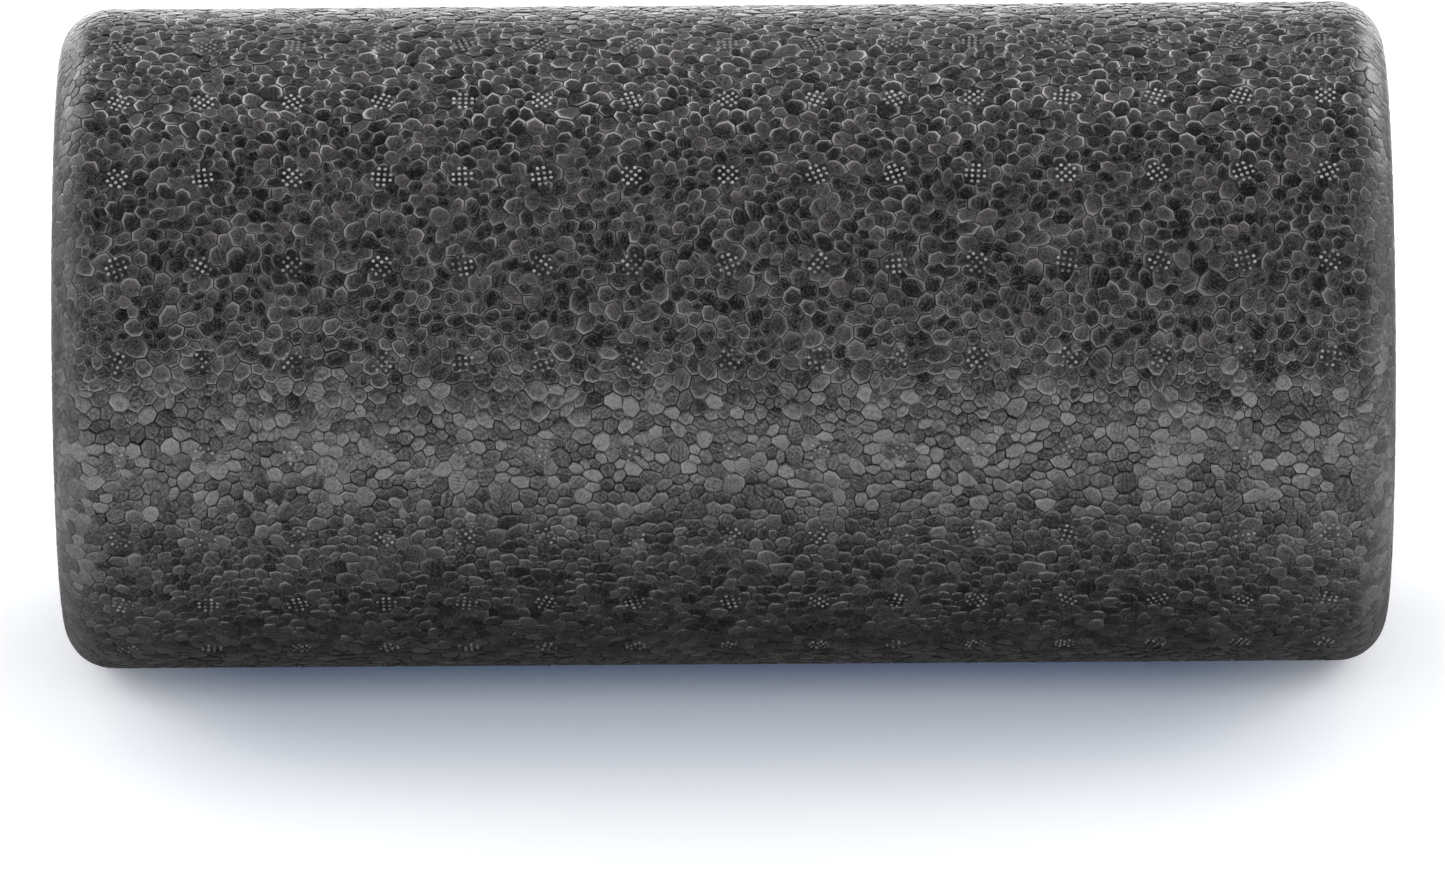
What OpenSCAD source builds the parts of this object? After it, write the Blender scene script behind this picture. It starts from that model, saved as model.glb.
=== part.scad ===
// Foam roller, lying on its side: one steam-moulded block of fused foam beads.
// The roller's axis runs along X, +Z is up, and the origin is the middle of the axis.
// Lengths are in millimetres. The skin is the dense layer that the hot mould presses on the beads:
// a sleeve formed by the mould's wall, and a rounded cap formed by each of its end plates.

/* [Roller] */
// Length over the two flat ends
roller_length = 304.8; // [120:0.1:920]
// Diameter of the rolling face
roller_diameter = 152.4; // [80:0.1:200]
// Radius of the rounded edge between the rolling face and each end
edge_radius = 11; // [4:0.5:20]

/* [Skin] */
// Thickness of the dense skin all round
skin_thickness = 1.6; // [1.2:0.1:3]

/* [Steam vent marks] */
// Diameter of the round mark that each steam vent leaves
vent_diameter = 5.6; // [3:0.1:8]
// Depth of a mark's face under the skin's surface
vent_sink = 0.2; // [0.1:0.05:0.4]
// Depth of the pressed foam under a mark's face
vent_body = 0.6; // [0.4:0.1:0.7]
// Distance between the rings of marks, evened out so that they fill the rolling face
vent_pitch = 19.6; // [12:0.1:40]
// Distance from the middle of the outermost marks to the rounded edge
vent_inset = 4.2; // [4.1:0.1:20]
// Marks in one ring around the rolling face
vents_around = 22; // [6:1:32]
// How far a ring of marks may stray along the roller from its even place
vent_stray = 2; // [0:0.1:3]
// Distance between the circles of marks on an end, evened out so that they fill it
end_circle_pitch = 19; // [12:0.5:40]
// Distance from the middle of an end's outermost marks to the rounded edge
end_vent_inset = 7.7; // [4.1:0.1:20]
// Distance between marks along a circle on an end
end_vent_pitch = 20; // [12:0.5:60]

/* [Fill marks] */
// Diameter of the mark that the bead filler's nose leaves in the middle of an end
fill_diameter = 20; // [10:0.5:30]
// Distance from the fill mark's edge to the middle of the first circle of marks
fill_gap = 9.5; // [6:0.5:20]
// Depth of the fill mark's face under the end
fill_sink = 0.5; // [0.2:0.1:0.6]
// Depth of the pressed foam under the fill mark's face
fill_body = 0.5; // [0.3:0.1:0.6]

/* [Hidden] */

round_fn = 180; // facets round the roller and its rounded edges
mark_fn = 24;   // facets round a mark

roll_radius = roller_diameter / 2;
half_length = roller_length / 2;
half_straight = half_length - edge_radius;   // the rolling face is straight between these two places
end_flat_radius = roll_radius - edge_radius; // the flat middle of each end

rings_span = 2 * (half_straight - vent_inset); // from the first ring of marks to the last
ring_gaps = max(round(rings_span / vent_pitch), 1);
ring_pitch = rings_span / ring_gaps;

first_circle = fill_diameter / 2 + fill_gap;
circles_span = end_flat_radius - end_vent_inset - first_circle;
circle_gaps = max(round(circles_span / end_circle_pitch), 0);
circle_pitch = circles_span / max(circle_gaps, 1);

drift_turn = 72;   // degrees of the drift's wave from one ring to the next
drift_start = 0.7; // ring at which the drift is greatest

foam_colour = "#3a3a3b";
skin_colour = "#48484a";
mark_colour = "#5c5c5f";

// A ring's place along the roller: an even pitch with a slow drift that ends at the outer rings.
// Rings are numbered from the middle, so with an even count of them the numbers are halves.
function ring_place(k) =
    k * ring_pitch
    + vent_stray * cos(180 * k / ring_gaps) * cos(drift_turn * (k - drift_start));

// How many marks stand round a circle on an end
function marks_on(radius) = round(2 * PI * radius / end_vent_pitch);

// Turns a shape drawn up the Z axis so that it points along the roller
module along_roller() {
    rotate([0, 90, 0]) children();
}

// Section of a cylinder's right half with its rim rounded: x is the radius, y the distance along
module half_section(radius, half, rim) {
    square([radius - rim, half]);
    square([radius, half - rim]);
    translate([radius - rim, half - rim])
        intersection() {
            circle(r = rim, $fn = round_fn);
            square(rim);
        }
}

// Section of the moulded block, shrunk on every side by an inset
module block_section(inset = 0) {
    half_section(roll_radius - inset, half_length - inset, edge_radius - inset);
}

// One place for each mark on the rolling face, with Z pointing out of the roller
module at_roll_vents() {
    for (k = [-ring_gaps / 2 : ring_gaps / 2], i = [0 : vents_around - 1])
        translate([ring_place(k), 0, 0])
            rotate([360 * (i + 0.5) / vents_around, 0, 0])
                translate([0, 0, roll_radius]) children();
}

// One place for each mark on the right end, with Z pointing out of the roller
module at_end_vents() {
    for (c = [0 : circle_gaps]) {
        radius = first_circle + c * circle_pitch;
        count = marks_on(radius);
        for (i = [0 : count - 1])
            rotate([360 * (i + 0.5) / count, 0, 0])
                translate([half_length, 0, radius])
                    along_roller() children();
    }
}

// The pocket in the skin over and around a mark
module mark_pocket(diameter, depth) {
    translate([0, 0, -depth]) cylinder(d = diameter, h = 2 * depth, $fn = mark_fn);
}

// The pressed foam of a mark, flat on both faces
module mark_disc(diameter, sink, body) {
    translate([0, 0, -sink - body]) cylinder(d = diameter, h = body, $fn = mark_fn);
}

module bead_core() {
    color(foam_colour)
        along_roller()
            rotate_extrude($fn = round_fn) {
                block_section(skin_thickness);
                mirror([0, 1]) block_section(skin_thickness);
            }
}

module roll_skin() {
    color(skin_colour)
        difference() {
            translate([-half_straight, 0, 0])
                along_roller() cylinder(r = roll_radius, h = 2 * half_straight, $fn = round_fn);
            translate([-half_length, 0, 0])
                along_roller()
                    cylinder(r = roll_radius - skin_thickness, h = roller_length, $fn = round_fn);
            at_roll_vents() mark_pocket(vent_diameter, vent_sink + vent_body);
        }
}

module right_end_shell() {
    difference() {
        along_roller()
            rotate_extrude($fn = round_fn)
                difference() {
                    block_section();
                    block_section(skin_thickness);
                    square([roller_diameter, half_straight]);
                }
        at_end_vents() mark_pocket(vent_diameter, vent_sink + vent_body);
        translate([half_length, 0, 0])
            along_roller() mark_pocket(fill_diameter, fill_sink + fill_body);
    }
}

module left_end_skin() {
    color(skin_colour) mirror([1, 0, 0]) right_end_shell();
}

module right_end_skin() {
    color(skin_colour) right_end_shell();
}

module roll_vent_marks() {
    color(mark_colour) at_roll_vents() mark_disc(vent_diameter, vent_sink, vent_body);
}

module left_end_vent_marks() {
    color(mark_colour)
        mirror([1, 0, 0]) at_end_vents() mark_disc(vent_diameter, vent_sink, vent_body);
}

module right_end_vent_marks() {
    color(mark_colour) at_end_vents() mark_disc(vent_diameter, vent_sink, vent_body);
}

module right_fill_disc() {
    translate([half_length, 0, 0])
        along_roller() mark_disc(fill_diameter, fill_sink, fill_body);
}

module left_fill_mark() {
    color(mark_colour) mirror([1, 0, 0]) right_fill_disc();
}

module right_fill_mark() {
    color(mark_colour) right_fill_disc();
}

bead_core();
roll_skin();
left_end_skin();
right_end_skin();
roll_vent_marks();
left_end_vent_marks();
right_end_vent_marks();
left_fill_mark();
right_fill_mark();
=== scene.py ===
# Foam roller lying on its side: every bead of the moulded skin, the vent pips and the fill marks,
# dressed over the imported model. Metres, roller along X, Z up, origin in the middle of the axis.
import bpy
import math
import random
from mathutils import Matrix, Vector
from mathutils.geometry import delaunay_2d_cdt


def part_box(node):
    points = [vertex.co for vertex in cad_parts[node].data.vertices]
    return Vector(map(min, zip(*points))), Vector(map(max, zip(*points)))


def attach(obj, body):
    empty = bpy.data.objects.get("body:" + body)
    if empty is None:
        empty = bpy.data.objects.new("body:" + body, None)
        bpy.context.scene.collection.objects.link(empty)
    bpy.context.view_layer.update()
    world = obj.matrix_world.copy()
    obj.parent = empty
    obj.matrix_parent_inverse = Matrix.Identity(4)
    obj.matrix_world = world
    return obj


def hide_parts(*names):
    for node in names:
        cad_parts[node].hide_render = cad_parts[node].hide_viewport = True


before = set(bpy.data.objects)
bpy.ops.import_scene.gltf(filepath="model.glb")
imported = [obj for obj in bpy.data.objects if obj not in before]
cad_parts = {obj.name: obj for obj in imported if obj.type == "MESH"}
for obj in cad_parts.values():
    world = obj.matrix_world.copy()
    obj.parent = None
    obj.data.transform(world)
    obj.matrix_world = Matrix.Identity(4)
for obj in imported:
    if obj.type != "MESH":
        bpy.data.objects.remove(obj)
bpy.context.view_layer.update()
print("frame loaded")

mm = 0.001
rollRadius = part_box("roll_skin")[1][2]
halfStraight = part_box("roll_skin")[1][0]
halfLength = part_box("right_end_skin")[1][0]
edgeRadius = halfLength - halfStraight
flatRadius = rollRadius - edgeRadius
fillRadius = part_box("right_fill_mark")[1][2]


class Value:                                     # a socket, so that node maths reads as maths
    def __init__(self, net, socket):
        self.net = net
        self.socket = socket

    def out(self, name):
        return Value(self.net, self.socket.node.outputs[name])

    def maths(self, operation, *terms):
        onVectors = any(isinstance(t, Value) and t.socket.type == "VECTOR" for t in terms)
        kind = "ShaderNodeVectorMath" if onVectors else "ShaderNodeMath"
        return self.net.add(kind, dict(operation=operation), dict(enumerate(terms)))

    def __add__(self, other):
        return self.maths("ADD", self, other)

    def __radd__(self, other):
        return self.maths("ADD", other, self)

    def __sub__(self, other):
        return self.maths("SUBTRACT", self, other)

    def __rsub__(self, other):
        return self.maths("SUBTRACT", other, self)

    def __mul__(self, other):
        return self.maths("MULTIPLY", self, other)

    def __rmul__(self, other):
        return self.maths("MULTIPLY", other, self)

    def __truediv__(self, other):
        return self.maths("DIVIDE", self, other)

    def __rtruediv__(self, other):
        return self.maths("DIVIDE", other, self)

    def __pow__(self, other):
        return self.maths("POWER", self, other)

    def __neg__(self):
        return self.maths("MULTIPLY", self, -1.0)

    def root(self):
        return self.maths("SQRT", self)

    def __abs__(self):
        return self.maths("ABSOLUTE", self)

    def __lt__(self, other):
        return self.maths("LESS_THAN", self, other)

    def __gt__(self, other):
        return self.maths("GREATER_THAN", self, other)


class Net:                                       # a node tree with one way to add any node
    def __init__(self, tree):
        self.tree = tree

    def add(self, kind, settings=None, sockets=None):
        node = self.tree.nodes.new(kind)
        for name, setting in (settings or {}).items():
            setattr(node, name, setting)
        for key, value in (sockets or {}).items():
            socket = node.inputs[key]
            if isinstance(value, Value):
                self.tree.links.new(value.socket, socket)
            elif socket.type == "VECTOR" and isinstance(value, (int, float)):
                socket.default_value = (value, value, value)
            else:
                socket.default_value = value
        shown = [s for s in node.outputs if s.enabled]
        return Value(self, shown[0]) if shown else None

    def span(self, value, low, high, first=0.0, last=1.0, smooth=True):
        return self.add("ShaderNodeMapRange",
                        dict(interpolation_type="SMOOTHSTEP" if smooth else "LINEAR", clamp=True),
                        {0: value, 1: low, 2: high, 3: first, 4: last})

    def mix(self, factor, first, second):
        return self.add("ShaderNodeMix", dict(data_type="FLOAT"), {0: factor, 2: first, 3: second})

    def blend(self, factor, first, second):
        return self.add("ShaderNodeMix", dict(data_type="RGBA"), {0: factor, 6: first, 7: second})

    def split(self, vector):
        parts = self.add("ShaderNodeSeparateXYZ", None, {0: vector})
        return parts.out("X"), parts.out("Y"), parts.out("Z")

    def join(self, x, y, z):
        return self.add("ShaderNodeCombineXYZ", None, {0: x, 1: y, 2: z})

    def noise(self, place, scale, detail=2.0, rough=0.5):
        return self.add("ShaderNodeTexNoise", None,
                        {"Vector": place, "Scale": scale, "Detail": detail, "Roughness": rough})


socketKinds = {float: "NodeSocketFloat", int: "NodeSocketInt", "object": "NodeSocketObject",
               "material": "NodeSocketMaterial"}


def geometryTree(name, inputs):                  # inputs: name -> float, int, "object" or "material"
    tree = bpy.data.node_groups.new(name, "GeometryNodeTree")
    tree.is_modifier = True
    tree.interface.new_socket(name="Geometry", in_out="INPUT", socket_type="NodeSocketGeometry")
    for inputName, kind in inputs.items():
        tree.interface.new_socket(name=inputName, in_out="INPUT", socket_type=socketKinds[kind])
    tree.interface.new_socket(name="Geometry", in_out="OUTPUT", socket_type="NodeSocketGeometry")
    net = Net(tree)
    return net, net.add("NodeGroupInput")


def finishTree(net, geometry, material):
    real = net.add("GeometryNodeRealizeInstances", None, {0: geometry})
    dressed = net.add("GeometryNodeSetMaterial", None, {"Geometry": real, "Material": material})
    net.add("NodeGroupOutput", None, {0: dressed})


def meshFromTree(source, net, values):           # runs a tree on an object and returns a plain mesh
    modifier = source.modifiers.new("work", "NODES")
    modifier.node_group = net.tree
    for item in net.tree.interface.items_tree:
        if item.item_type == "SOCKET" and item.in_out == "INPUT" and item.name in values:
            modifier[item.identifier] = values[item.name]
    source.update_tag()
    graph = bpy.context.evaluated_depsgraph_get()
    graph.update()
    mesh = bpy.data.meshes.new_from_object(source.evaluated_get(graph), depsgraph=graph,
                                           preserve_all_data_layers=True)
    source.modifiers.remove(modifier)
    return mesh


def newObject(name, mesh):
    thing = bpy.data.objects.new(name, mesh)
    bpy.context.scene.collection.objects.link(thing)
    return thing


shot = dict(                                     # the camera that the photograph was taken with
    focalPixels=14446,                           # of the 1445 pixel wide photograph
    pictureWidth=1445,
    sensorWidth=36.0,
    distance=3.3386,                             # lens to the roller's middle, along the view
    lookDown=20.96,                              # degrees
    above=0.02339,                               # the middle stands this far above the picture's middle
    right=0.00023,
    turn=0.382,                                  # degrees by which the right end stands higher
)


def placeCamera():
    data = bpy.data.cameras.new("camera")
    data.sensor_width = shot["sensorWidth"]
    data.lens = shot["focalPixels"] / shot["pictureWidth"] * shot["sensorWidth"]
    data.clip_start = 0.1
    data.clip_end = 60.0
    camera = newObject("camera", data)
    pitch = math.radians(shot["lookDown"])
    turn = math.radians(shot["turn"])
    ahead = Vector((0, math.cos(pitch), -math.sin(pitch)))
    level = Vector((1, 0, 0))
    upright = level.cross(ahead)
    right = level * math.cos(turn) - upright * math.sin(turn)
    up = level * math.sin(turn) + upright * math.cos(turn)
    place = -(right * shot["right"] + up * shot["above"] + ahead * shot["distance"])
    camera.matrix_world = Matrix((
        (right.x, up.x, -ahead.x, place.x),
        (right.y, up.y, -ahead.y, place.y),
        (right.z, up.z, -ahead.z, place.z),
        (0, 0, 0, 1)))
    bpy.context.scene.camera = camera


placeCamera()
print("camera placed")


beads = dict(                                    # how the beads are scattered over the skin
    seed=23,
    lookSeed=5,                                  # of each bead's tone, shine, lift and lean
    leastSpacing=2.0 * mm,                       # between the middles of two beads
    areaEach=9.9 * mm * mm,                      # skin for each bead, on average
    tries=40,                                    # darts thrown for each bead that lands
)


def skinProfile(steps=4000):                     # half outline from one end's middle to the other's
    quarter = edgeRadius * math.pi / 2
    total = 2 * flatRadius + 2 * quarter + 2 * halfStraight
    rows = []
    for i in range(steps + 1):
        s = total * i / steps
        t = min(s, total - s)                    # both halves are alike
        side = -1 if s < total / 2 else 1
        if t < flatRadius:
            rows.append((s, side * halfLength, t))
        elif t < flatRadius + quarter:
            a = (t - flatRadius) / edgeRadius
            rows.append((s, side * (halfStraight + edgeRadius * math.cos(a)),
                         flatRadius + edgeRadius * math.sin(a)))
        else:
            rows.append((s, side * (halfStraight - (t - flatRadius - quarter)), rollRadius))
    return rows


def scatterBeads():                              # bead middles: evenly random, none too close
    rng = random.Random(beads["seed"])
    profile = skinProfile()
    area = [0.0]
    spread = [0.0]                               # log radius that keeps angles when laid out flat
    for (s0, x0, r0), (s1, x1, r1) in zip(profile, profile[1:]):
        area.append(area[-1] + math.pi * (r0 + r1) * (s1 - s0))
        spread.append(spread[-1] + (s1 - s0) / max((r0 + r1) / 2, 1 * mm))
    wanted = int(area[-1] / beads["areaEach"])
    cell = beads["leastSpacing"]
    taken = {}
    places, flats = [], []

    def tryPlace(x, radius, angle, stretch):
        place = Vector((x, radius * math.cos(angle), radius * math.sin(angle)))
        key = tuple(math.floor(c / cell) for c in place)
        for i in (-1, 0, 1):
            for j in (-1, 0, 1):
                for k in (-1, 0, 1):
                    for other in taken.get((key[0] + i, key[1] + j, key[2] + k), ()):
                        if (place - other).length < cell:
                            return
        taken.setdefault(key, []).append(place)
        places.append(place)
        scale = math.exp(stretch - spread[-1] / 2)
        flats.append(Vector((scale * math.cos(angle), scale * math.sin(angle))))

    tryPlace(-halfLength, 0.0, 0.0, 0.0)
    flats[0] = Vector((0, 0))
    tryPlace(halfLength, 0.0, 0.0, spread[-1])
    for _ in range(wanted * beads["tries"]):
        if len(places) >= wanted:
            break
        want = rng.random() * area[-1]
        low, high = 0, len(area) - 1
        while high - low > 1:
            middle = (low + high) // 2
            if area[middle] < want:
                low = middle
            else:
                high = middle
        part = (want - area[low]) / max(area[high] - area[low], 1e-12)
        x = profile[low][1] + part * (profile[high][1] - profile[low][1])
        radius = profile[low][2] + part * (profile[high][2] - profile[low][2])
        stretch = spread[low] + part * (spread[high] - spread[low])
        tryPlace(x, radius, rng.random() * 2 * math.pi, stretch)
    return places, flats


def beadMesh():                                  # triangles between neighbouring bead middles
    places, flats = scatterBeads()
    lastPole = 1                                 # the right end's middle, which can't be laid flat
    inside = [i for i in range(len(places)) if i != lastPole]
    _, _, faces, origins, _, _ = delaunay_2d_cdt([flats[i] for i in inside], [], [], 0, 1e-9, True)
    faces = [[inside[origins[c][0]] for c in face] for face in faces]
    edges = {}
    for face in faces:
        for a, b in zip(face, face[1:] + face[:1]):
            edges[(a, b)] = True
    faces += [[b, a, lastPole] for a, b in edges if (b, a) not in edges]
    a, b, c = (places[i] for i in faces[len(faces) // 3])
    if (b - a).cross(c - a).dot(Vector((0, a.y, a.z))) < 0:
        faces = [face[::-1] for face in faces]
    mesh = bpy.data.meshes.new("beadMiddles")
    mesh.from_pydata(places, [], faces)
    mesh.validate()
    return mesh


def markCentres(node):                           # middle of each separate disc in a CAD node
    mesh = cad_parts[node].data
    owner = {}
    grid = 0.01 * mm                             # corners closer than this are one
    corners = [tuple(round(c / grid) for c in v.co) for v in mesh.vertices]

    def root(key):
        while owner.setdefault(key, key) != key:
            owner[key] = owner[owner[key]]
            key = owner[key]
        return key

    for face in mesh.polygons:
        keys = [root(corners[i]) for i in face.vertices]
        for key in keys[1:]:
            owner[root(key)] = root(keys[0])
    groups = {}
    for key in owner:
        groups.setdefault(root(key), []).append(key)
    centres = []
    for keys in groups.values():
        low = [min(k[i] for k in keys) for i in range(3)]
        high = [max(k[i] for k in keys) for i in range(3)]
        centres.append(Vector([(a + b) / 2 * grid for a, b in zip(low, high)]))
    centres.sort(key=lambda c: (round(c.x, 4), round(math.atan2(c.z, c.y), 3)))
    return centres


def pointObject(name, places):
    mesh = bpy.data.meshes.new(name)
    mesh.from_pydata(places, [], [])
    return newObject(name, mesh)


beadSource = newObject("beadMiddles", beadMesh())
rollMarks = markCentres("roll_vent_marks")
leftMarks = markCentres("left_end_vent_marks")
rightMarks = markCentres("right_end_vent_marks")
markSource = pointObject("markMiddles", rollMarks + leftMarks + rightMarks)
print("beads", len(beadSource.data.vertices), "marks", len(markSource.data.vertices))


# The moulded block's sizes go into every tree by name.
blockSizes = {"Roll radius": rollRadius, "Half straight": halfStraight, "Edge radius": edgeRadius}
blockInputs = {name: float for name in blockSizes}


def skinAt(net, inputs, place):                  # nearest point of the moulded skin, and its outward way
    x, y, z = net.split(place)
    straight = inputs.out("Half straight")
    edge = inputs.out("Edge radius")
    coreRadius = inputs.out("Roll radius") - edge
    along = net.add("ShaderNodeClamp", None, {0: x, 1: -straight, 2: straight})
    reach = (y * y + z * z).root()
    shrink = reach.maths("MINIMUM", reach, coreRadius) / reach
    core = net.join(along, y * shrink, z * shrink)
    outward = place.maths("NORMALIZE", place - core)
    return core + outward * edge, outward


layout = dict(                                   # how much of the skin a square of the layout spans
    turn=6.6,                                    # radians round the roller
    length=2.06,                                 # halves of the roller's straight part
    disc=2.14,                                   # radii of an end with its edge laid flat
)


def unroll(net, inputs, place, middle):          # the skin laid flat: the roll as a sheet, an end as a disc
    straight = inputs.out("Half straight")
    edge = inputs.out("Edge radius")
    radius = inputs.out("Roll radius")
    _, outward = skinAt(net, inputs, place)
    x, y, z = net.split(place)
    _, middleY, middleZ = net.split(middle)
    outX, outY, outZ = net.split(outward)
    angle = y.maths("ARCTAN2", z, y)
    middleAngle = y.maths("ARCTAN2", middleZ, middleY)
    turned = middleAngle + y.maths("WRAP", angle - middleAngle, math.pi, -math.pi)
    sheet = net.join(0.5 + turned / layout["turn"], 0.5 + x / (straight * layout["length"]), 0.0)
    around = (outY * outY + outZ * outZ).root()
    bend = y.maths("ARCTAN2", around, abs(outX)) * edge
    reach = (y * y + z * z).root()
    flat = reach.maths("MINIMUM", reach, radius - edge)
    run = flat + bend + y.maths("MAXIMUM", straight - abs(x), 0.0)
    size = (radius - edge + edge * (math.pi / 2)) * layout["disc"]
    disc = net.join(0.5 + run * y / reach / size, 0.5 + run * z / reach / size, 0.0)
    isEnd = inputs.out("End piece")
    return net.add("ShaderNodeMix", dict(data_type="VECTOR"), {0: isEnd, 4: sheet, 5: disc})


def storeUnrolled(net, inputs, geometry, middle):
    place = net.add("GeometryNodeInputPosition")
    return net.add("GeometryNodeStoreNamedAttribute", dict(data_type="FLOAT2", domain="CORNER"),
                   {"Geometry": geometry, "Name": "OFBake", "Value": unroll(net, inputs, place, middle)})


skin = {                                         # shape of the beads, as inputs of their tree
    "Gap depth": 0.42 * mm,                      # bottom of the widest gap between two beads
    "Pit depth": 0.55 * mm,                      # the odd hole where three beads meet
    "Lip drop": 0.12 * mm,                       # how far a bead has rounded off at its very edge
    "Shoulder drop": 0.038 * mm,                 # and a little further in
    "Dish depth": 0.06 * mm,                     # a bead's middle under its crest
    "Lift range": 0.09 * mm,                     # how unevenly whole beads stand
    "Lean": 0.10,                                # slope by which a bead may lean
    "Lip scale": 0.92,                           # outlines inside a bead, as shares of its own
    "Shoulder scale": 0.79,
    "Crest scale": 0.62,
    "Dish scale": 0.32,
    "End relief": 0.42,                          # relief left on the smoother ends
    "Mark radius": 2.9 * mm,                     # of the pressed patch under a cluster of pips
    "Mark depth": 0.28 * mm,
    "Fill radius": fillRadius,
    "Fill depth": 0.5 * mm,
}

skinFades = dict(                                # where the relief of the beads changes
    smoothEnd=(-1 * mm, 7 * mm),                 # it fades from here to here, past the straight part
    markEdge=0.5 * mm,                           # half the width of the slope into a mark
    fillEdge=0.6 * mm,                           # and into a fill mark
    reliefLost=(0.75, 0.5),                      # share lost inside a mark and inside a fill mark
    gapScale=260.0,                              # of the noise that deepens and shallows the gaps
    gapSpan=(0.36, 0.60, 0.45, 1.0),
    pitScale=5000.0,                             # of the chance that makes a corner of beads a pit
    pitAbove=0.97,
)


def buildSkinTree():
    inputs = {**blockInputs, **{name: float for name in skin}, "End piece": float,
              "From x": float, "To x": float, "Seed": int, "Marks": "object", "Material": "material"}
    net, given = geometryTree("beadSkin", inputs)
    place = net.add("GeometryNodeInputPosition")
    cells = net.add("GeometryNodeDualMesh", None, {0: given.out("Geometry")})
    onSkin, _ = skinAt(net, given, place)
    cells = net.add("GeometryNodeSetPosition", None, {"Geometry": cells, "Position": onSkin})

    def store(geometry, name, value, kind="FLOAT", domain="FACE", only=None):
        sockets = {"Geometry": geometry, "Name": name, "Value": value}
        if only is not None:
            sockets["Selection"] = only
        return net.add("GeometryNodeStoreNamedAttribute", dict(data_type=kind, domain=domain), sockets)

    def recall(name, kind="FLOAT"):
        return net.add("GeometryNodeInputNamedAttribute", dict(data_type=kind), {"Name": name})

    def draw(offset, low=0.0, high=1.0):         # one random number for each bead
        return net.add("FunctionNodeRandomValue", dict(data_type="FLOAT"),
                       {2: low, 3: high, "ID": net.add("GeometryNodeInputIndex"),
                        "Seed": given.out("Seed") + offset})

    cells = store(cells, "tone", draw(1))
    cells = store(cells, "shine", draw(2))
    cells = store(cells, "lift", draw(3))
    lean = net.join(draw(4, -1.0), draw(5, -1.0), draw(6, -1.0))
    cells = store(cells, "lean", lean, "FLOAT_VECTOR")
    cells = store(cells, "middle", place, "FLOAT_VECTOR")
    middleX, _, _ = net.split(recall("middle", "FLOAT_VECTOR"))
    kept = (middleX > given.out("From x")) * (middleX < given.out("To x"))
    cells = net.add("GeometryNodeSeparateGeometry", dict(domain="FACE"), {0: cells, 1: kept})

    outlines = ("Lip scale", "Shoulder scale", "Crest scale", "Dish scale")
    lip, shoulder, crest, dish = (given.out(name) for name in outlines)
    rings = [lip, shoulder / lip, crest / shoulder, dish / crest]
    top = None
    for number, scale in enumerate(rings):       # each pass adds one ring of faces inside the last
        sockets = {"Mesh": cells, "Offset Scale": 0.0, "Individual": True}
        if top is not None:
            sockets["Selection"] = top
        cells = net.add("GeometryNodeExtrudeMesh", dict(mode="FACES"), sockets)
        top = cells.out("Top")
        cells = net.add("GeometryNodeScaleElements", dict(domain="FACE", scale_mode="UNIFORM"),
                        {"Geometry": cells, "Selection": top, "Scale": scale})
        cells = store(cells, "level", float(number + 1), domain="POINT", only=top)

    surface, outward = skinAt(net, given, place)
    level = recall("level")
    x, y, z = net.split(surface)
    straight = given.out("Half straight")
    fadeFrom, fadeTo = skinFades["smoothEnd"]
    endward = net.span(abs(x), straight + fadeFrom, straight + fadeTo)
    relief = net.mix(endward, 1.0, given.out("End relief"))
    marks = net.add("GeometryNodeObjectInfo", None, {"Object": given.out("Marks")}).out("Geometry")
    nearest = net.add("GeometryNodeProximity", dict(target_element="POINTS"),
                      {0: marks, "Sample Position": surface}).out("Distance")
    markRadius, markDepth = given.out("Mark radius"), given.out("Mark depth")
    markEdge, fillEdge = skinFades["markEdge"], skinFades["fillEdge"]
    pressed = net.span(nearest, markRadius - markEdge, markRadius + markEdge, 1.0, 0.0)
    reach = (y * y + z * z).root()
    nose, noseDepth = given.out("Fill radius"), given.out("Fill depth")
    filled = net.span(reach, nose - fillEdge, nose + fillEdge, 1.0, 0.0)
    lostInMark, lostInFill = skinFades["reliefLost"]
    relief = relief * (1.0 - lostInMark * pressed) * (1.0 - lostInFill * filled)

    wide = net.span(net.noise(surface, skinFades["gapScale"]), *skinFades["gapSpan"])
    chance = net.add("ShaderNodeTexWhiteNoise", dict(noise_dimensions="3D"),
                     {"Vector": surface * skinFades["pitScale"]})
    pit = (chance > skinFades["pitAbove"]) * given.out("Pit depth")
    gap = -(given.out("Gap depth") * wide * relief) - pit * (0.3 + 0.7 * relief)
    lift = (recall("lift") - 1.0) * given.out("Lift range")
    away = surface - recall("middle", "FLOAT_VECTOR")
    leaning = away.maths("DOT_PRODUCT", away, recall("lean", "FLOAT_VECTOR"))
    leaning = leaning * given.out("Lean")
    lipDrop, shoulderDrop = given.out("Lip drop"), given.out("Shoulder drop")
    roundOff = (lipDrop - shoulderDrop) * net.span(level, 1.0, 2.0, 1.0, 0.0, smooth=False)
    roundOff = roundOff + shoulderDrop * net.span(level, 2.0, 3.0, 1.0, 0.0, smooth=False)
    dished = given.out("Dish depth") * net.span(level, 3.0, 4.0, smooth=False)
    crown = (lift + leaning - roundOff - dished) * relief
    crown = crown.maths("MINIMUM", crown, 0.0)
    height = net.mix(net.span(level, 0.0, 1.0, smooth=False), gap, crown)
    height = height - markDepth * pressed - noseDepth * filled
    cells = net.add("GeometryNodeSetPosition", None,
                    {"Geometry": cells, "Position": surface + outward * height})
    cells = store(cells, "press", pressed, domain="POINT")
    cells = storeUnrolled(net, given, cells, recall("middle", "FLOAT_VECTOR"))
    cells = net.add("GeometryNodeSetShadeSmooth", dict(domain="FACE"), {"Geometry": cells})
    cells = net.add("GeometryNodeSetShadeSmooth", dict(domain="EDGE"),
                    {"Geometry": cells, "Selection": recall("level") < 0.25, "Shade Smooth": False})
    finishTree(net, cells, given.out("Material"))
    return net


def newMaterial(name, **constants):
    material = bpy.data.materials.new(name)
    material.use_nodes = True
    net = Net(material.node_tree)
    shader = material.node_tree.nodes["Principled BSDF"]
    for socket, value in constants.items():
        shader.inputs[socket.replace("_", " ")].default_value = value
    return material, net, shader


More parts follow.
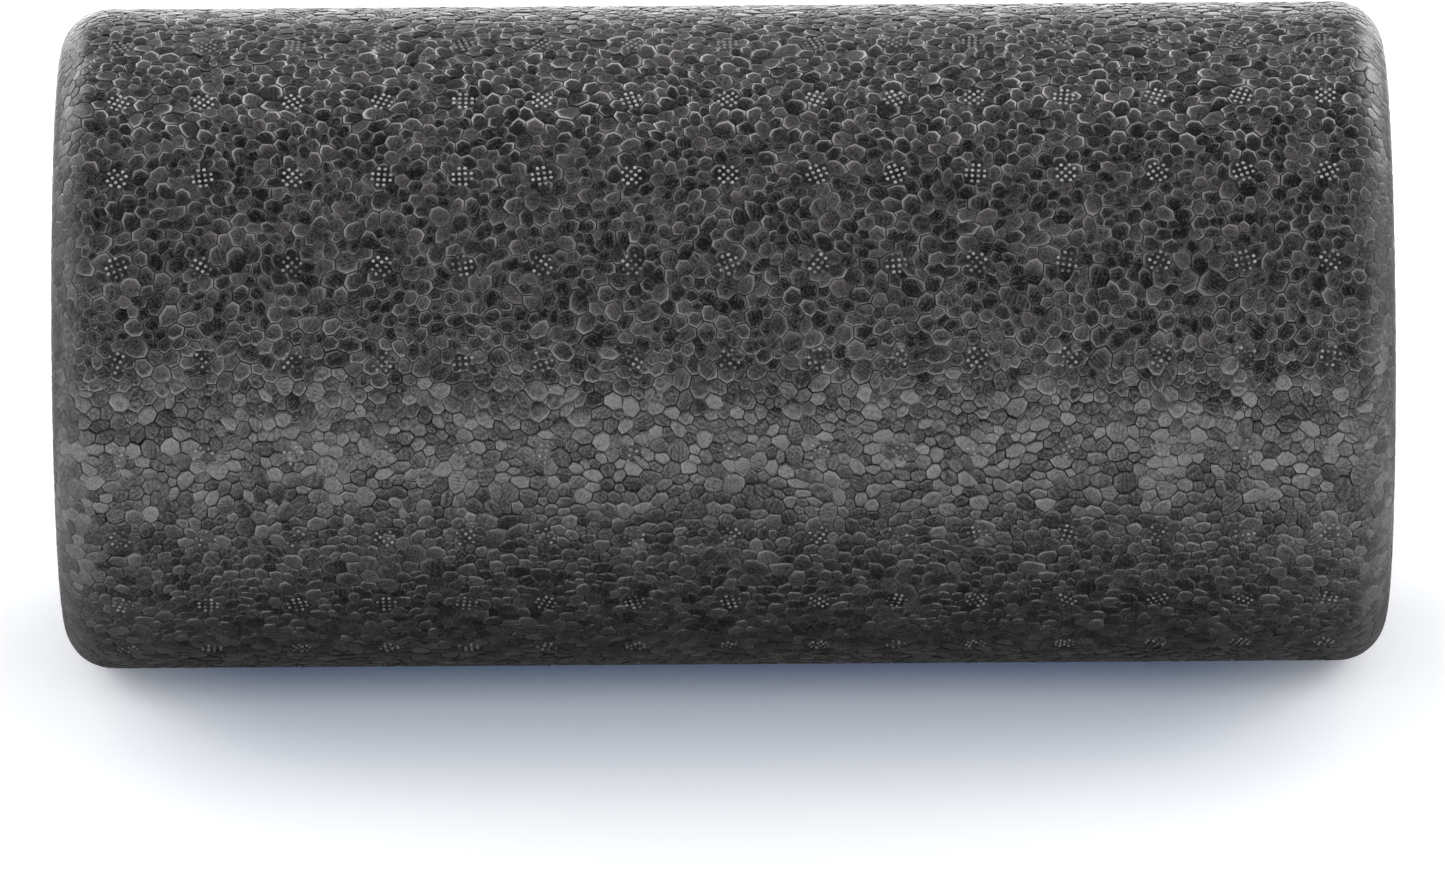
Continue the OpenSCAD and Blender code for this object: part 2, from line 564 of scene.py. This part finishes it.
def plug(net, value, shader, socket):
    net.tree.links.new(value.socket, shader.inputs[socket])


def attribute(net, name, output="Fac"):
    return net.add("ShaderNodeAttribute", dict(attribute_name=name)).out(output)


foam = dict(
    dark=(0.0058, 0.0051, 0.0054, 1),            # a bead's colour runs from dark to light
    light=(0.122, 0.112, 0.117, 1),
    base=0.045,                                  # share of light in every bead
    toneShare=0.47,                              # and what its own tone adds,
    tonePower=1.3,
    grainShare=2.2,                              # its grain,
    stripeShare=0.08,                            # the fine stripes across its lean,
    paintedLitSideShare=0.20,                              # its side painted brighter where light falls,
    paintedDishShading=(0.11, -0.07),                        # and its shoulder painted lighter and its dish painted darker, as shading
    cloudScale=1300.0,                           # scales of coarse grain, fine grain and stripes
    fleckScale=3400.0,
    stripeScale=7500.0,
    beadHalf=1.6 * mm,                           # about half the width of a bead
    paintedLightWay=(-0.30, 0.62, 0.72),                  # painted light: a bead is painted brighter on this side
    litShare=0.45,
    leanLightShare=0.75,                              # and painted brighter on the side that its lean points to
    rim=(0.650, 0.615, 0.633, 1),                # painted highlight on the thin edge of a bead
    rimSide=(-0.25, 0.85),                       # painted from its dark side to its lit one
    rimDull=0.35,                                # share left on the least shiny beads
    rimLostOnEnd=0.85,
    rimMiddle=(0.0, 0.85, 0.07, 0.39),           # strength of the painted highlight by height on the roller
    rimTop=(0.74, 0.98, 0.0, 0.62),              # and more of it on top, where light falls
    # painted shade: the gaps between beads are near black
    gap=(0.002, 0.002, 0.002, 1),
    gapShadeLostOnEnd=0.70,
    satin=(0.074, 0.0683, 0.0712, 1),            # the smoother skin of the ends
    satinDark=(0.040, 0.0369, 0.0385, 1),
    satinShare=0.7,
    endFade=8 * mm,                              # past the straight part, the ends' look is full here
    pressed=(0.0128, 0.0117, 0.0122, 1),         # the foam inside a mark
    pressedShare=0.75,
    fillShare=0.55,                              # and inside a fill mark
    gloss=1.37,                                  # index of refraction of the foam
    coatGloss=1.88,                              # and of the film on its shinier beads
    coatRough=0.2,
    coatShine=0.95,                              # film that a bead's own shine, grain and stripes give
    coatPower=1.6,
    coatGrain=2.6,
    coatStripes=0.10,
    coatLostOnFlat=0.6,                          # on the flat of the ends
    rough=0.17,                                  # of every bead
    shineRough=0.10,
    fleckRough=0.10,
    gapRough=0.35,
)


def foamMaterial():
    material, net, shader = newMaterial("charcoalBeadFoam", IOR=foam["gloss"],
                                        Coat_IOR=foam["coatGloss"], Coat_Roughness=foam["coatRough"])
    place = net.add("ShaderNodeTexCoord").out("Object")
    level = attribute(net, "level")              # 0 in a gap, 1 to 4 on the rings towards a bead's middle
    tone = attribute(net, "tone")
    press = attribute(net, "press")
    shine = attribute(net, "shine")
    lean = attribute(net, "lean", "Vector")
    x, y, z = net.split(place)
    endward = net.span(abs(x), halfStraight, halfStraight + foam["endFade"])
    cloud = net.noise(place, foam["cloudScale"], 2.0, 0.6)
    fleck = net.noise(place, foam["fleckScale"], 2.0, 0.7)
    grain = 0.4 * cloud + 0.6 * fleck
    across = place.maths("DOT_PRODUCT", place, lean)
    stripes = across.maths("SINE", across * foam["stripeScale"])
    # Painted shading: a bead's shoulder is painted lighter and its dish darker.
    paintedDishShading = net.span(level, 1.8, 4.0, *foam["paintedDishShading"], smooth=False)
    # Painted light: each bead is painted brighter on its lit side and on the side that its lean points to.
    away = (place - attribute(net, "middle", "Vector")) / foam["beadHalf"]
    slant = away.maths("DOT_PRODUCT", away, lean)
    lit = away.maths("DOT_PRODUCT", away, foam["paintedLightWay"])
    side = foam["leanLightShare"] * slant + foam["litShare"] * lit
    depth = foam["base"] + foam["toneShare"] * tone ** foam["tonePower"]
    depth = depth + foam["grainShare"] * (grain - 0.5) + foam["stripeShare"] * stripes
    depth = depth + paintedDishShading + foam["paintedLitSideShare"] * side
    depth = net.span(depth, 0.0, 1.0, smooth=False)
    bead = net.blend(depth, foam["dark"], foam["light"])

    # Painted highlight: a thin bright edge on each bead, strongest on its lit side and high on the roller.
    rim = net.span(level, 0.9, 1.4) * net.span(level, 1.4, 3.3, 1.0, 0.0)
    rim = rim * net.span(side, *foam["rimSide"])
    rim = rim * (foam["rimDull"] + (1.0 - foam["rimDull"]) * shine)
    rim = rim * (1.0 - foam["rimLostOnEnd"] * endward)
    height = z / rollRadius
    rim = rim * (net.span(height, *foam["rimMiddle"]) + net.span(height, *foam["rimTop"]))
    colour = net.blend(rim, bead, foam["rim"])
    satin = net.blend(net.span(grain, 0.38, 0.62), foam["satinDark"], foam["satin"])
    colour = net.blend(foam["satinShare"] * endward, colour, satin)
    colour = net.blend(foam["pressedShare"] * press, colour, foam["pressed"])
    filled = net.span((y * y + z * z).root(), fillRadius - 0.5 * mm, fillRadius, 1.0, 0.0)
    colour = net.blend(foam["fillShare"] * filled * endward, colour, foam["pressed"])
    # Painted shade: the gaps between beads are painted near black, less so on the ends.
    gapShade = net.span(level, 0.15, 0.85, 1.0, 0.0) * (1.0 - foam["gapShadeLostOnEnd"] * endward)
    colour = net.blend(gapShade, colour, foam["gap"])
    plug(net, colour, shader, "Base Color")

    coat = foam["coatShine"] * shine ** foam["coatPower"] + foam["coatGrain"] * (grain - 0.48)
    coat = net.span(coat + foam["coatStripes"] * stripes, 0.0, 1.0, smooth=False)
    flatEnd = net.span(abs(x), halfLength - 2.5 * mm, halfLength - 0.5 * mm)
    plug(net, coat * (1.0 - foam["coatLostOnFlat"] * flatEnd), shader, "Coat Weight")
    rough = foam["rough"] + foam["shineRough"] * shine + foam["fleckRough"] * (fleck - 0.5)
    rough = rough + foam["gapRough"] * net.span(level, 0.0, 0.35, 1.0, 0.0)
    plug(net, rough, shader, "Roughness")
    bump = net.add("ShaderNodeBump", None, {"Strength": 0.35, "Distance": 0.05 * mm, "Height": grain})
    plug(net, bump, shader, "Normal")
    return material


foamSkin = foamMaterial()
skinTree = buildSkinTree()


def skinPiece(name, fromX, toX, isEnd, node):
    values = {**blockSizes, **skin, "End piece": float(isEnd), "From x": fromX, "To x": toX,
              "Seed": beads["lookSeed"], "Marks": markSource, "Material": foamSkin}
    piece = newObject(name, meshFromTree(beadSource, skinTree, values))
    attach(piece, "root")
    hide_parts(node)
    print(name, len(piece.data.polygons), "faces")


skinPiece("rollBeads", -halfStraight, halfStraight, False, "roll_skin")
skinPiece("leftEndBeads", -1.0, -halfStraight, True, "left_end_skin")
skinPiece("rightEndBeads", halfStraight, 1.0, True, "right_end_skin")


pips = {                                         # the small points that a steam vent leaves in a mark
    "Pip spacing": 1.38 * mm,
    "Cluster radius": 2.5 * mm,
    "Foot radius": 0.50 * mm,
    "Top radius": 0.24 * mm,
    "Pip height": 0.40 * mm,
    "Sink": 0.41 * mm,                           # a pip's foot under the skin
}


def buildPipTree():
    inputs = {**blockInputs, **{name: float for name in pips}, "End piece": float, "Seed": int,
              "Material": "material"}
    net, given = geometryTree("ventPips", inputs)
    place = net.add("GeometryNodeInputPosition")
    index = net.add("GeometryNodeInputIndex")
    across = 4                                   # four rows of four, less the corners
    spacing = given.out("Pip spacing")
    row = index.maths("FLOOR", index / float(across))
    column = index - row * float(across)
    middle = (across - 1) / 2
    gridX = (column - middle) * spacing
    gridY = (row - middle) * spacing
    grid = net.add("GeometryNodePoints", None, {"Count": across * across,
                                                "Position": net.join(gridX, gridY, 0.0)})
    far = place.maths("LENGTH", place)
    grid = net.add("GeometryNodeSeparateGeometry", dict(domain="POINT"),
                   {0: grid, 1: far < given.out("Cluster radius")})
    pip = net.add("GeometryNodeMeshCone", dict(fill_type="NGON"),
                  {"Vertices": 8, "Radius Top": given.out("Top radius"),
                   "Radius Bottom": given.out("Foot radius"), "Depth": given.out("Pip height")})
    cluster = net.add("GeometryNodeInstanceOnPoints", None, {"Points": grid, "Instance": pip})
    cluster = net.add("GeometryNodeRealizeInstances", None, {0: cluster})
    marks = net.add("GeometryNodeMeshToPoints", None, {0: given.out("Geometry")})
    surface, outward = skinAt(net, given, place)
    marks = net.add("GeometryNodeSetPosition", None,
                    {"Geometry": marks, "Position": surface - outward * given.out("Sink")})
    upright = net.add("FunctionNodeAlignRotationToVector", dict(axis="Z"), {"Vector": outward})
    turn = net.add("FunctionNodeRandomValue", dict(data_type="FLOAT"),
                   {2: 0.0, 3: 2 * math.pi, "ID": index, "Seed": given.out("Seed")})
    spin = net.add("FunctionNodeEulerToRotation", None, {0: net.join(0.0, 0.0, turn)})
    turned = net.add("FunctionNodeRotateRotation", dict(rotation_space="LOCAL"),
                     {0: upright, 1: spin})
    placed = net.add("GeometryNodeInstanceOnPoints", None,
                     {"Points": marks, "Instance": cluster, "Rotation": turned})
    real = net.add("GeometryNodeRealizeInstances", None, {0: placed})
    real = storeUnrolled(net, given, real, place)
    real = net.add("GeometryNodeSetShadeSmooth", None, {"Geometry": real, "Shade Smooth": True})
    finishTree(net, real, given.out("Material"))
    return net


pipLook = dict(
    dark=(0.045, 0.0430, 0.0440, 1),
    # painted highlight: the palest colour of a pip
    pale=(0.500, 0.482, 0.491, 1),
    noiseScale=420.0,
    dulled=(0.45, 0.85, 1.0, 0.45),              # how far noise may dull pips, by height on the roller
    highlightByHeight=(0.2, 0.93, 0.60, 1.0),                # painted highlight: pips are painted palest high on the front
    shadeOnTop=(0.95, 0.995, 1.0, 0.40),            # and painted darker again on top
)


def pipMaterial():
    material, net, shader = newMaterial("pressedPips", IOR=1.6)
    place = net.add("ShaderNodeTexCoord").out("Object")
    _, _, z = net.split(place)
    dull = net.span(net.noise(place, pipLook["noiseScale"], 3.0), 0.38, 0.64, 1.0, 0.0)

    def byHeight(low, high, first, last):
        return net.span(z, low * rollRadius, high * rollRadius, first, last)

    # Painted light: pips are painted palest high on the front and darker on top.
    cloud = 1.0 - dull * byHeight(*pipLook["dulled"])
    pale = cloud * byHeight(*pipLook["highlightByHeight"]) * byHeight(*pipLook["shadeOnTop"])
    plug(net, net.blend(pale, pipLook["dark"], pipLook["pale"]), shader, "Base Color")
    plug(net, 0.20 + 0.12 * cloud, shader, "Roughness")
    return material


ventPips = pipMaterial()
pipTree = buildPipTree()


def pipPiece(name, centres, isEnd, node, seed):
    source = pointObject(name + "Source", centres)
    values = {**blockSizes, **pips, "End piece": float(isEnd), "Seed": seed, "Material": ventPips}
    piece = newObject(name, meshFromTree(source, pipTree, values))
    bpy.data.objects.remove(source)
    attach(piece, "root")
    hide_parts(node)
    print(name, len(piece.data.polygons), "faces")


pipPiece("rollPips", rollMarks, False, "roll_vent_marks", 3)
pipPiece("leftEndPips", leftMarks, True, "left_end_vent_marks", 4)
pipPiece("rightEndPips", rightMarks, True, "right_end_vent_marks", 5)
bpy.data.objects.remove(beadSource)
bpy.data.objects.remove(markSource)


fillLip = dict(
    dark=(0.090, 0.084, 0.087, 1),
    pale=(0.200, 0.188, 0.194, 1),
    noiseScale=500.0,
    steps=120,                                   # round the mark
    outline=(                                    # out from the fill mark's edge, and up from the skin
        (-0.60 * mm, -0.70 * mm),
        (-0.42 * mm, -0.34 * mm),
        (-0.18 * mm, -0.10 * mm),
        (0.06 * mm, -0.03 * mm),
        (0.30 * mm, -0.12 * mm),
        (0.48 * mm, -0.36 * mm),
        (0.55 * mm, -0.70 * mm)),
)


def lipMaterial():
    material, net, shader = newMaterial("pinchedLip", IOR=1.5)
    place = net.add("ShaderNodeTexCoord").out("Object")
    cloud = net.span(net.noise(place, fillLip["noiseScale"], 3.0), 0.35, 0.65)
    plug(net, net.blend(cloud, fillLip["dark"], fillLip["pale"]), shader, "Base Color")
    plug(net, 0.24 + 0.14 * cloud, shader, "Roughness")
    return material


pinchedLip = lipMaterial()


def lipPiece(name, side, node):                  # the ring that the bead filler's nose pinches up
    points, faces = [], []
    count = len(fillLip["outline"])
    for i in range(fillLip["steps"]):
        angle = 2 * math.pi * i / fillLip["steps"]
        for across, height in fillLip["outline"]:
            x = side * (halfLength + height)
            radius = fillRadius + across
            points.append((x, radius * math.cos(angle), radius * math.sin(angle)))
        for j in range(count):
            here, after = i * count, (i + 1) % fillLip["steps"] * count
            face = (here + j, after + j, after + (j + 1) % count, here + (j + 1) % count)
            faces.append(face if side < 0 else face[::-1])
    mesh = bpy.data.meshes.new(name)
    mesh.from_pydata(points, [], faces)
    mesh.shade_smooth()
    mesh.materials.append(pinchedLip)
    piece = newObject(name, mesh)
    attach(piece, "root")
    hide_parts(node)


lipPiece("leftFillLip", -1, "left_fill_mark")
lipPiece("rightFillLip", 1, "right_fill_mark")


coreLook = dict(                                 # the inside, which the skin hides
    light=(0.042, 0.040, 0.041, 1),              # the middle of a bead
    dark=(0.010, 0.0095, 0.0098, 1),
    beadScale=270.0,
    grainScale=2000.0,
)


def coreMaterial():
    material, net, shader = newMaterial("openBeadFoam", IOR=1.5)
    place = net.add("ShaderNodeTexCoord").out("Object")
    cells = net.add("ShaderNodeTexVoronoi", dict(feature="F1"),
                    {"Vector": place, "Scale": coreLook["beadScale"]})
    grey = net.blend(net.span(cells, 0.1, 0.6), coreLook["light"], coreLook["dark"])
    plug(net, grey, shader, "Base Color")
    plug(net, 0.55 + 0.2 * net.noise(place, coreLook["grainScale"]), shader, "Roughness")
    bump = net.add("ShaderNodeBump", dict(invert=True),
                   {"Strength": 0.8, "Distance": 1 * mm, "Height": cells})
    plug(net, bump, shader, "Normal")
    return material


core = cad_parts["bead_core"]
coreFoam = coreMaterial()
for slot in core.material_slots:
    slot.material = coreFoam


studio = dict(                                   # floor, lamps and background
    floorSize=40.0,
    floorSeen=(0.93, 0.93, 0.93, 1),
    floorMirrored=(0.99, 0.99, 0.99, 1),         # as the foam's gloss shows it
    floorBounced=(0.56, 0.56, 0.56, 1),          # as it lights the foam from below
    underShade=0.12,                             # share of light left on the floor under the roller
    underReach=(60 * mm, 210 * mm),              # it grows to all of it between these places
    endStart=32 * mm,                            # and faster from here, before the straight part's end
    endStretch=1.2,
    shadowGlow=(0.035, 0.060, 0.115, 1),         # what the camera sees glow in the deepest shadow,
    clearGlow=(0.205, 0.215, 0.230, 1),          # in front of the shadow and behind it
    clearFrom=(60 * mm, 130 * mm),
    sideGlow=(0.300, 0.300, 0.303, 1),           # and beside it
    sideFrom=(100 * mm, 185 * mm),
    mirrorGlow=(0.53, 0.53, 0.53, 1),            # added to the open floor where the gloss shows it
    cornerShade=0.70,                            # light lost by the floor behind and past the ends
    cornerSlope=(0.10, 0.45),                    # way past an end, as a share of the way behind it
    cornerDepth=100 * mm,
    cornerBase=50 * mm,
    lampAngle=50.0,
    lamps=(                                      # degrees from the front, degrees up, strength
        (0, 32, 1.50),
        (90, 24, 2.10),
        (-90, 24, 2.10),
        (140, 24, 1.20),
        (-140, 24, 1.20)),
    fill=0.08,                                   # even light from all sides, a little blue
    fillTint=(0.86, 0.96, 1.18, 1),
    aheadShine=0.15,                             # what gloss mirrors of the room: in front and above,
    frontShine=0.60,                             # low down in front,
    behindShine=0.36,                            # high up behind,
    horizonShine=1.50,                           # low down behind,
    sideShine=0.80,                              # to both sides,
    cornerShine=2.4,                             # and behind the ends
    horizonFade=(0.02, 0.34),                    # where one passes into the next, by a ray's x, y or z
    frontFade=(0.0, 0.30),
    behindFade=(0.02, 0.36),
    sideFade=(0.50, 0.88),
    sideTop=(0.85, 0.65),
    cornerFades=((0.30, 0.50), (0.30, 0.55), (0.12, 0.35)),
)


def makeFloor():
    material, net, shader = newMaterial("paleFloor", Roughness=0.9, IOR=1.2, Emission_Strength=1.0)
    path = net.add("ShaderNodeLightPath")
    camera = path.out("Is Camera Ray")
    glossy = path.out("Is Glossy Ray")
    place = net.add("ShaderNodeTexCoord").out("Object")
    x, y, _ = net.split(place)
    pastEnd = x.maths("MAXIMUM", abs(x) - (halfStraight - studio["endStart"]), 0.0)
    aside = abs(y) + studio["endStretch"] * pastEnd
    under = net.span(aside, *studio["underReach"], studio["underShade"], 1.0)
    clear = net.span(abs(y), *studio["clearFrom"])
    beyondEnds = net.span(abs(x), *studio["sideFrom"])
    glow = net.blend(clear, studio["shadowGlow"], studio["clearGlow"])
    glow = net.blend(beyondEnds, glow, studio["sideGlow"])
    farAhead = net.span(abs(y), *studio["underReach"], studio["underShade"], 1.0)
    slope = (abs(x) - halfLength) / (abs(y) + studio["cornerBase"])
    corner = net.span(slope, *studio["cornerSlope"]) * net.span(y, 0.0, studio["cornerDepth"])
    corner = 1.0 - studio["cornerShade"] * corner
    black = (0, 0, 0, 1)
    mirrorGlow = net.blend(glossy * farAhead * corner, black, studio["mirrorGlow"])
    bounced = net.blend(glossy, studio["floorBounced"], studio["floorMirrored"])
    bounced = net.blend(under * corner, black, bounced)
    plug(net, net.blend(camera, bounced, studio["floorSeen"]), shader, "Base Color")
    plug(net, net.blend(camera, mirrorGlow, glow), shader, "Emission Color")
    half = studio["floorSize"] / 2
    low = -rollRadius
    mesh = bpy.data.meshes.new("floor")
    mesh.from_pydata([(-half, -half, low), (half, -half, low), (half, half, low), (-half, half, low)],
                     [], [(0, 1, 2, 3)])
    mesh.materials.append(material)
    floor = newObject("floor", mesh)


def makeLights():
    for turn, height, strength in studio["lamps"]:
        data = bpy.data.lights.new("soft", "SUN")
        data.energy = strength
        data.angle = math.radians(studio["lampAngle"])
        lamp = newObject("soft", data)
        lamp.rotation_euler = (math.radians(90 - height), 0, math.radians(turn))
        lamp.visible_glossy = False

    world = bpy.data.worlds.new("studio")
    bpy.context.scene.world = world
    world.use_nodes = True
    net = Net(world.node_tree)
    way = net.add("ShaderNodeTexCoord").out("Generated")
    path = net.add("ShaderNodeLightPath")
    glossy = path.out("Is Glossy Ray")
    camera = path.out("Is Camera Ray")
    x, y, z = net.split(way)
    behind = net.mix(net.span(z, *studio["horizonFade"]), studio["horizonShine"], studio["behindShine"])
    ahead = net.mix(net.span(z, *studio["frontFade"]), studio["frontShine"], studio["aheadShine"])
    shine = net.mix(net.span(y, *studio["behindFade"]), ahead, behind)
    beside = net.span(abs(x), *studio["sideFade"]) * net.span(z, *studio["sideTop"])
    shine = net.mix(beside, shine, studio["sideShine"])
    acrossFade, deepFade, highFade = studio["cornerFades"]
    corner = net.span(abs(x), *acrossFade) * net.span(y, *deepFade) * net.span(z, *highFade)
    shine = net.mix(corner, shine, studio["cornerShine"])
    strength = net.mix(camera, net.mix(glossy, studio["fill"], shine), 1.0)
    colour = net.blend(camera.maths("MAXIMUM", camera, glossy), studio["fillTint"], (1, 1, 1, 1))
    background = world.node_tree.nodes["Background"]
    net.tree.links.new(colour.socket, background.inputs["Color"])
    net.tree.links.new(strength.socket, background.inputs["Strength"])


makeFloor()
makeLights()
bpy.context.scene.view_settings.view_transform = "Standard"
